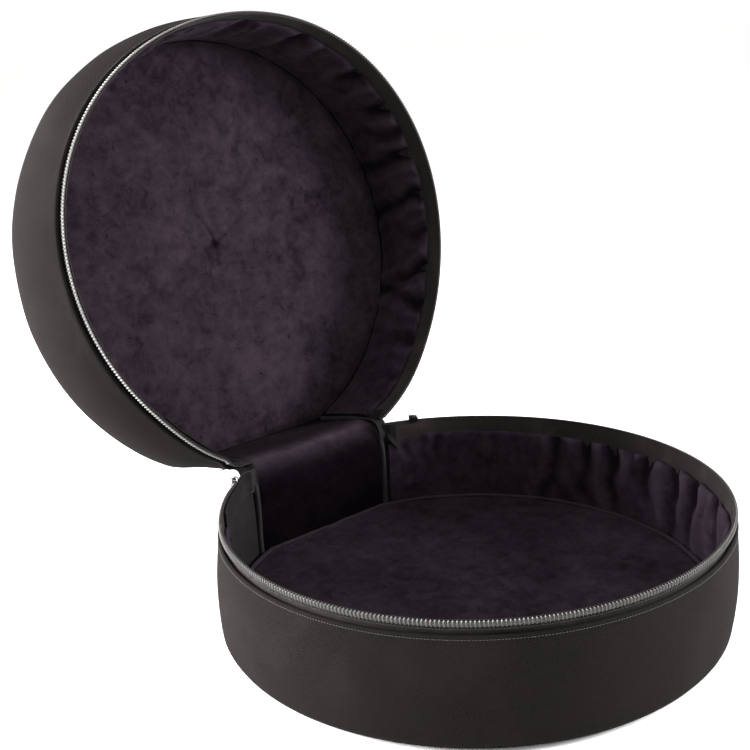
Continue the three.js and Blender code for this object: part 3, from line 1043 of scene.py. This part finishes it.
def sagOf(across, along):
    side = np.clip(1 - (np.abs(across) / (foldSag["half"] * mm)) ** 2.4, 0, 1)
    return foldSag["deep"] * side * np.exp(-(along / foldSag["reach"]) ** 2)


def makeSpinePad():
    look = spineLook
    path = spinePath(look["gap"] * mm, look["baseFoot"] * mm, look["lidFoot"] * mm, 26, 18, look["ease"] * mm)
    piece, nearest, normal, lengths = spineSheet("spinePad", path, -look["half"] * mm, look["half"] * mm,
                                                 look["steps"])
    spots = spotsOf(piece)
    along = lengths[nearest]
    share = along / lengths[-1]
    side = np.abs(spots[:, 0]) / (look["half"] * mm)
    wrinkle = ripples(spots[:, 0] * 11, along * 60, 7.7)
    puff = ripples(spots[:, 0] * 16, along * 14, 2.2)
    middle = lengths[np.searchsorted([t for y, z, t in path], 0.5)]
    nearFold = np.exp(-((along - middle) / 0.03) ** 2)
    rise = 1.6 * puff + 1.3 * wrinkle * nearFold + np.sin(np.pi * share) - 1.2 * smooth((side - 0.9) / 0.1)
    ends = smooth(share / 0.08) * smooth((1 - share) / 0.08)
    rise = rise - sagOf(spots[:, 0], along - lengths[-1] * 0.5) * 1.0
    spots[:, 1] += normal[:, 0] * rise * ends * mm
    spots[:, 2] += normal[:, 1] * rise * ends * mm
    moveSpots(piece, spots)
    thicken(piece, look["thickness"] * mm)
    # the spine plush carries painted shade and a painted highlight along the fold
    bendOver(piece, spinePlushPaintedShade,
             ["base_spine_lining", "lid_spine_lining", "base_spine_foam", "lid_spine_foam"])
    return piece


bindingLook = {"gap": 7.6, "ease": 40, "inner": {-1: 105.5, 1: 98.5}, "wide": 8.6, "crown": 3.2,
               "thickness": 1.6, "baseFoot": 25.5, "lidFoot": 17.5}


def makeBinding(side):
    look = bindingLook
    path = spinePath(look["gap"] * mm, look["baseFoot"] * mm, look["lidFoot"] * mm, 26, 18, look["ease"] * mm)
    inner = look["inner"][side]
    name = "spineBinding_" + ("right" if side > 0 else "left")
    piece, nearest, normal, lengths = spineSheet(name, path, side * inner * mm,
                                                 side * (inner + look["wide"]) * mm, 10)
    spots = spotsOf(piece)
    across = (np.abs(spots[:, 0]) / mm - inner) / look["wide"]
    along = lengths[nearest]
    wave = ripples(side * 3, along * 26, 1.2)
    rise = look["crown"] * (1 - np.abs(2 * across - 1) ** 2.6) - 1.6 + 0.5 * wave
    rise = rise - sagOf(spots[:, 0], along - lengths[-1] * 0.5)
    spots[:, 0] += side * (1.3 * wave) * mm
    spots[:, 1] += normal[:, 0] * rise * mm
    spots[:, 2] += normal[:, 1] * rise * mm
    moveSpots(piece, spots)
    thicken(piece, look["thickness"] * mm)
    word = "right" if side > 0 else "left"
    return bendOver(piece, boundEdge,
                    ["base_spine_binding_" + word, "lid_spine_binding_" + word])


spineClothLook = {"gap": 0.35, "ease": 41.0, "half": 112.4, "corner": 15, "thickness": 1.2}


def makeSpineCloth():
    look = spineClothLook
    gap, corner = look["gap"] * mm, look["corner"] * mm
    middle = spinePath(gap, corner + 1 * mm, corner + 1 * mm, 14, 12, look["ease"] * mm)
    baseCorner = []
    for step in range(8):
        turn = math.radians(-78 + 78 * step / 8)
        baseCorner.append((hinge.y - gap - corner + corner * math.cos(turn),
                           corner + 1 * mm + corner * math.sin(turn), 0.0))
    lidCorner = []
    for y, z, t in reversed(baseCorner):
        spot = toLid @ Vector((0, y, z))
        lidCorner.append((spot.y, spot.z, 1.0))
    path = baseCorner + middle + lidCorner
    piece, nearest, normal, lengths = spineSheet("spineCloth", path, -look["half"] * mm,
                                                 look["half"] * mm, 36)
    pickUp(piece)
    bpy.ops.object.mode_set(mode="EDIT")
    bpy.ops.mesh.select_all(action="SELECT")
    bpy.ops.mesh.flip_normals()
    bpy.ops.object.mode_set(mode="OBJECT")
    spots = spotsOf(piece)
    along = lengths[nearest]
    share = along / lengths[-1]
    puff = ripples(spots[:, 0] * 10, along * 12, 3.3)
    side = np.abs(spots[:, 0]) / (look["half"] * mm)
    swell = np.sin(2 * np.pi * np.clip(share, 0, 1)) ** 2 * (1 - side ** 4)
    rise = -(1.1 * puff * (1 - side ** 6) + 1.8 * swell) - sagOf(spots[:, 0], along - lengths[-1] * 0.5)
    spots[:, 1] += normal[:, 0] * rise * mm
    spots[:, 2] += normal[:, 1] * rise * mm
    moveSpots(piece, spots)
    thicken(piece, look["thickness"] * mm)
    return bendOver(piece, twill,
                    ["base_spine_cover", "lid_spine_cover"])


webLook = {"gap": 6.4, "ease": {-1: 14.0, 1: 20.0}, "fall": {-1: 4.0, 1: 1.2}, "wide": (106.0, 129.0),
           "narrow": (99.0, 116.5), "reach": 44.0}


def makeWeb(side):
    # the bare cloth between the spine and the end of the zip, from the base over to the lid
    look = webLook
    near, far = look["wide"] if side < 0 else look["narrow"]
    foot = rim - look["reach"] * mm
    ease = look["ease"][side] * mm
    path = spinePath(look["gap"] * mm, foot, foot, 8, 18, ease)
    steps = 16
    name = "hingeWeb_" + ("right" if side > 0 else "left")
    piece, nearest, normal, lengths = spineSheet(name, path, side * near * mm, side * far * mm, steps)
    spots = spotsOf(piece)
    along = lengths[nearest] / lengths[-1]
    across = (np.abs(spots[:, 0]) / mm - near) / (far - near)
    # away from the spine the cloth falls back towards the two rims, and its ends tuck under
    rise = -look["fall"][side] * smooth((np.abs(spots[:, 0]) / mm - 108) / 9)
    rise = rise - 2.6 * (1 - smooth(np.minimum(along, 1 - along) / 0.16))
    wave = ripples(spots[:, 0] * 60, along * 5, 4.1)
    rise = rise + 0.9 * wave * across + 0.2
    spots[:, 1] += normal[:, 0] * rise * mm
    spots[:, 2] += normal[:, 1] * rise * mm
    moveSpots(piece, spots)
    thicken(piece, 1.1 * mm)
    return bendOver(piece, gussetCloth, ())


# along the rim, out from the middle and up, for a slider at the spine, which is then turned to its place
sliders = {
    "left": {"park": -31.0, "metal": "chrome", "finish": chrome, "tab": (7.0, 1.9, 17.0), "round": 0.8},
    "right": {"park": 31.0, "metal": "black_metal", "finish": blackMetal, "tab": (9.5, 5.0, 15.5),
              "round": 2.2},
}


def softBlock(size, at, edge, nose=1.0, steps=3):
    settle()
    bpy.ops.mesh.primitive_cube_add(size=1, location=(0, 0, 0))
    block = bpy.context.object
    bpy.ops.object.mode_set(mode="EDIT")
    bpy.ops.mesh.select_all(action="SELECT")
    bpy.ops.transform.resize(value=[v * mm for v in size], center_override=(0, 0, 0))
    bpy.ops.object.mode_set(mode="OBJECT")
    for spot in block.data.vertices:
        if spot.co.x > 0:
            spot.co.z *= nose
    bpy.ops.object.mode_set(mode="EDIT")
    bpy.ops.mesh.select_all(action="SELECT")
    bpy.ops.mesh.bevel(offset=edge * mm, segments=steps, affect="EDGES")
    bpy.ops.mesh.select_all(action="SELECT")
    bpy.ops.transform.translate(value=[v * mm for v in at])
    bpy.ops.object.mode_set(mode="OBJECT")
    return block


def wireLoop(reach, wire, at, stretch, upright=False):
    settle()
    bpy.ops.mesh.primitive_torus_add(major_segments=28, minor_segments=10, major_radius=reach * mm,
                                     minor_radius=wire * mm, location=(0, 0, 0))
    loop = bpy.context.object
    spots = spotsOf(loop)
    if upright:
        spots = spots[:, [2, 0, 1]]
    spots = spots * np.array(stretch) + np.array(at) * mm
    moveSpots(loop, spots)
    pickUp(loop)
    bpy.ops.object.mode_set(mode="EDIT")
    bpy.ops.mesh.select_all(action="SELECT")
    bpy.ops.mesh.normals_make_consistent(inside=False)
    bpy.ops.object.mode_set(mode="OBJECT")
    return loop


def joinUp(name, parts):
    settle()
    for part in parts:
        part.select_set(True)
    bpy.context.view_layer.objects.active = parts[0]
    bpy.ops.object.join()
    piece = bpy.context.object
    piece.name = piece.data.name = name
    return piece


def makeSlider(side):
    look = sliders[side]
    turned = Matrix.Rotation(-math.radians(look["park"]), 4, "Z")
    outer = softBlock((12.0, 1.7, 9.4), (0, 291.8, 139.5), 0.6, 0.74)
    inner = softBlock((11.4, 1.3, 9.0), (0, 284.5, 139.5), 0.5, 0.74)
    neck = softBlock((3.6, 8.2, 2.6), (0.6, 288.2, 142.9), 0.7)
    rib = softBlock((8.4, 1.1, 2.2), (0, 292.7, 136.9), 0.45, 0.8)
    bail = wireLoop(2.9, 0.75, (0, 292.7, 140.2), (1.25, 1.05, 1.0))
    body = joinUp(side + "_sliderBody", [outer, inner, neck, rib, bail])
    wide, thick, long = look["tab"]
    tab = softBlock((long, thick, wide), (0, 0, 0), look["round"], 1.0, 4)
    spots = spotsOf(tab)
    taper = 0.8 + 0.2 * smooth(spots[:, 0] / (long * mm) + 0.5)
    spots = np.stack([spots[:, 2] * taper, spots[:, 1], -spots[:, 0]], 1)
    spots += np.array([0, 295.4 + (thick - 1.9) * 0.25, 139.6 - 2.6 - long / 2]) * mm
    moveSpots(tab, spots)
    pickUp(tab)
    bpy.ops.object.mode_set(mode="EDIT")
    bpy.ops.mesh.select_all(action="SELECT")
    bpy.ops.mesh.normals_make_consistent(inside=False)
    bpy.ops.mesh.select_mode(type="FACE")
    bpy.ops.mesh.select_all(action="DESELECT")
    bpy.ops.object.mode_set(mode="OBJECT")
    biggest = max(tab.data.polygons, key=lambda face: face.area * (face.normal.y > 0.9))
    biggest.select = True
    bpy.ops.object.mode_set(mode="EDIT")
    bpy.ops.mesh.inset(thickness=0.9 * mm)
    bpy.ops.mesh.extrude_region_move(TRANSFORM_OT_translate={"value": (0, -0.35 * mm, 0)})
    bpy.ops.mesh.select_mode(type="VERT")
    bpy.ops.object.mode_set(mode="OBJECT")
    ring = wireLoop(2.5, 0.6, (0, 295.3, 139.0), (1.0, 0.95, 1.15), upright=True)
    pull = joinUp(side + "_pullTab", [tab, ring])
    for piece, part in ((body, "slider"), (pull, "pull")):
        piece.data.transform(turned)
        piece.data.materials.clear()
        piece.data.materials.append(look["finish"])
        pickUp(piece)
        bpy.ops.object.shade_smooth_by_angle(angle=math.radians(45))
        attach(piece, side + "_" + part)
        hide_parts(side + "_" + part)


stageLook = {"floor": shade(240, 239, 238), "air": shade(255, 255, 255), "strength": 1.12}


def makeStage():
    settle()
    bpy.ops.mesh.primitive_plane_add(size=60, location=(0, 0, -0.4 * mm))
    floor = bpy.context.object
    floor.name = floor.data.name = "floor"
    bpy.ops.object.transform_apply(location=True, rotation=False, scale=False)
    f = Finish("paleFloor")
    speck = f.grain(3, 4.0)
    hue = f.mix(speck, stageLook["floor"], shade(244, 244, 243))
    floor.data.materials.append(f.give(BaseColor=hue, Roughness=0.75))
    air = bpy.data.worlds.new("air")
    air.use_nodes = True
    air.node_tree.nodes["Background"].inputs[0].default_value = stageLook["air"]
    air.node_tree.nodes["Background"].inputs[1].default_value = stageLook["strength"]
    bpy.context.scene.world = air
    bpy.context.scene.view_settings.view_transform = "Standard"


lamps = {
    "leftBox": {"at": (-2.2, 2.1, 0.8), "aim": (0, 0.1, 0.3), "size": 1.5, "power": 540},
    "rightBox": {"at": (2.3, -1.7, 0.95), "aim": (0, 0, 0.2), "size": 1.1, "power": 265},
    "topBox": {"at": (-0.2, -0.9, 2.9), "aim": (0, 0.1, 0.1), "size": 1.6, "power": 60},
}


def makeLamps():
    for name, look in lamps.items():
        light = bpy.data.lights.new(name, "AREA")
        light.energy = look["power"]
        light.size = look["size"]
        lamp = bpy.data.objects.new(name, light)
        lamp.location = look["at"]
        lamp.rotation_euler = (Vector(look["aim"]) - Vector(look["at"])).to_track_quat("-Z", "Y").to_euler()
        bpy.context.scene.collection.objects.link(lamp)


view = {"at": (-0.90677, -0.87887, 0.67085), "turn": -41.318, "down": 16.829, "roll": -2.954, "lens": 57.265}


def makeCamera():
    eye = bpy.data.cameras.new("camera")
    eye.lens = view["lens"]
    eye.sensor_width = 36
    stand = bpy.data.objects.new("camera", eye)
    facing = Euler((math.radians(90 - view["down"]), 0, math.radians(view["turn"]))).to_matrix()
    stand.rotation_euler = (facing @ Matrix.Rotation(math.radians(view["roll"]), 3, "Z")).to_euler()
    stand.location = view["at"]
    bpy.context.scene.collection.objects.link(stand)
    bpy.context.scene.camera = stand


makeStage()
makeLamps()
makeCamera()
print("stage ready")
for half in ("base", "lid"):
    makeWallCloth(half)
    makeDiscCloth(half)
    makeTapeBand(half)
    makeCoilLoops(half)
    makeCoilCore(half)
    for label, row in stitchRows.items():
        makeStitches(half, label, **row)
    print(half, "outside made")
    makeWallPad(half)
    makeDiscPad(half)
    for side in (-1, 1):
        makeGusset(half, side)
    boardPiece = frame["nodes"][half + "_disc_board"]
    boardPiece.data.materials.clear()
    boardPiece.data.materials.append(board)
    print(half, "inside made")
makeRidge()
makeSpinePad()
makeSpineCloth()
for side in (-1, 1):
    makeBinding(side)
    makeWeb(side)
print("spine made")
for name in sliders:
    makeSlider(name)
print("sliders made")

settle()
